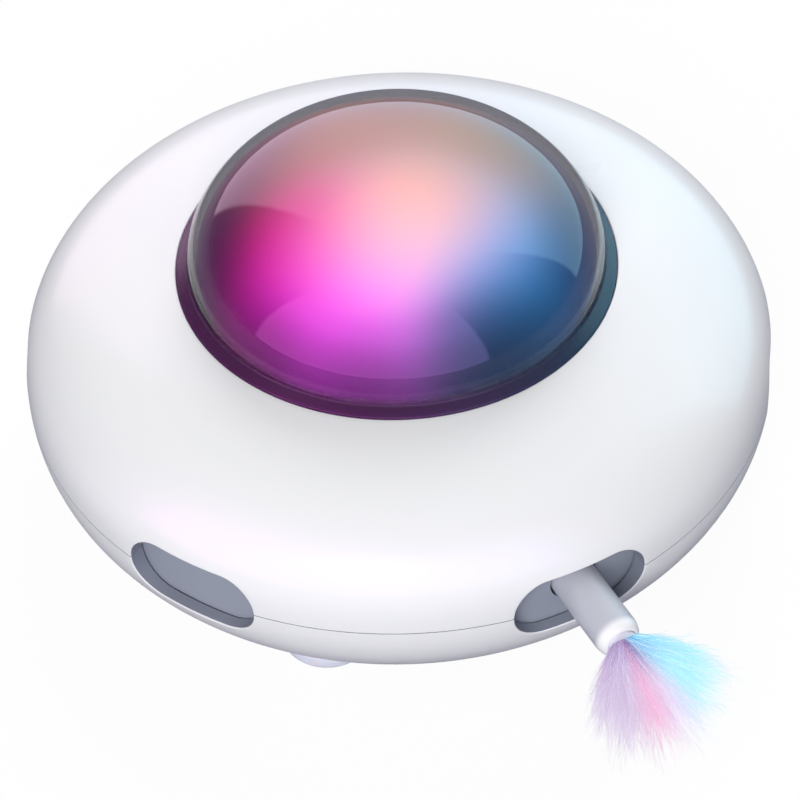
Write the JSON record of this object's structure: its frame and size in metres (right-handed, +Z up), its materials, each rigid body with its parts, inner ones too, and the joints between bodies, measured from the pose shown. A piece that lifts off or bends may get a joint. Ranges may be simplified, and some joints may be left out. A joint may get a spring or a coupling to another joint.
{
  "type": "automatic cat feather toy",
  "caption": "Low round cat toy with a lit dome and side slots; a motor-driven arm on a turntable pushes a feather in and out through a slot.",
  "frame": {"origin": "centre of the flat underside of the housing, on its vertical axis; the rubber feet reach 1.5 mm below it", "axes": "+Z up along the axis of the housing and dome, the arm and its feather point along -Y, the charging socket faces +Y, +X completes the right-handed frame"},
  "size_m": [0.165, 0.2139, 0.0823],
  "materials": {
    "white_plastic": "satin white moulded shell",
    "dome_plastic": "smoky tinted, polished, lit from inside",
    "black_rubber": "matt",
    "diffuser_plastic": "milky, lit from below",
    "lamp_board": "white solder mask",
    "lamp": "clear potted lamp",
    "steel": "plain",
    "inner_plastic": "moulded, unpainted",
    "foot_rubber": "pale, slightly translucent",
    "battery_foil": "foil pouch",
    "lead_insulation": "insulated wire",
    "circuit_board": "green solder mask",
    "black_plastic": "moulded",
    "plunger_plastic": "moulded",
    "button_plastic": "moulded",
    "brass": "plain",
    "copper": "copper plate",
    "nylon": "natural, self-lubricating",
    "drum_plastic": "smooth blue-grey",
    "arm_plastic": "satin light grey",
    "ferrule_plastic": "moulded",
    "feather": "dyed downy barbs"
  },
  "bodies": {
    "housing": {"lower_shell": "white_plastic", "upper_shell": "white_plastic", "dome_lens": "dome_plastic", "dome_gasket": "black_rubber", "dome_diffuser": "diffuser_plastic", "lamp_tray": "white_plastic", "lamp_board": "lamp_board", "lamps": "lamp", "tray_screws": "steel", "centre_post": "inner_plastic", "chassis": "inner_plastic", "chassis_screws": "steel", "rubber_feet": "foot_rubber", "battery_pouch": "battery_foil", "battery_clip": "inner_plastic", "clip_screws": "steel", "battery_lead": "lead_insulation", "lamp_lead": "lead_insulation", "main_board": "circuit_board", "board_chips": "black_plastic", "board_screws": "steel", "usb_port": "steel", "switch_body": "black_plastic", "turn_motor": "steel", "turn_gearbox": "brass", "motor_clamp": "inner_plastic", "clamp_screws": "steel", "thrust_ring": "nylon", "brush_holder": "black_plastic", "contact_brushes": "brass"},
    "turntable": {"turntable": "drum_plastic", "ring_gear": "nylon", "slip_rings": "copper", "arm_guide": "inner_plastic", "guide_screws": "steel", "arm_motor": "steel", "arm_gearbox": "brass", "arm_bracket": "inner_plastic", "arm_strap": "steel", "bracket_screws": "steel", "end_switches": "black_plastic"},
    "turn_drive": {"turn_pinion": "nylon", "turn_shaft": "steel"},
    "arm": {"arm_tube": "arm_plastic", "arm_rack": "nylon"},
    "arm_drive": {"arm_pinion": "nylon", "arm_shaft": "steel"},
    "feather": {"feather_ferrule": "ferrule_plastic", "feather_plume": "feather"},
    "button": {"power_button": "button_plastic", "switch_plunger": "plunger_plastic"}
  },
  "joints": [
    {"name": "turntable_turn", "type": "hinge", "parent": "housing", "child": "turntable", "pos_m": [0, 0, 0.0172], "axis": [0, 0, 1], "range_deg": [-6.5, 6.5]},
    {"name": "turn_pinion_spin", "type": "hinge", "parent": "housing", "child": "turn_drive", "pos_m": [0.014, 0, 0.0277], "axis": [0, 0, 1], "range_deg": [-23, 23]},
    {"name": "arm_slide", "type": "slide", "parent": "turntable", "child": "arm", "axis": [0, -1, 0], "range_m": [-0.0203, 0], "deforming": ["feather_plume"]},
    {"name": "arm_pinion_spin", "type": "hinge", "parent": "turntable", "child": "arm_drive", "pos_m": [0, -0.0488, 0.0375], "axis": [1, 0, 0], "range_deg": [-4, 283]},
    {"name": "feather_pull", "type": "slide", "parent": "arm", "child": "feather", "axis": [0, -1, 0], "range_m": [0, 0.014]},
    {"name": "button_press", "type": "slide", "parent": "housing", "child": "button", "axis": [0, 0, 1], "range_m": [0, 0.0004], "stiffness_N_per_m": 800}
  ],
  "couplings": [
    {"joint": "turn_pinion_spin", "follows": "turntable_turn", "ratio": 3.3333},
    {"joint": "arm_pinion_spin", "follows": "arm_slide", "rad_per_m": -238.1}
  ]
}
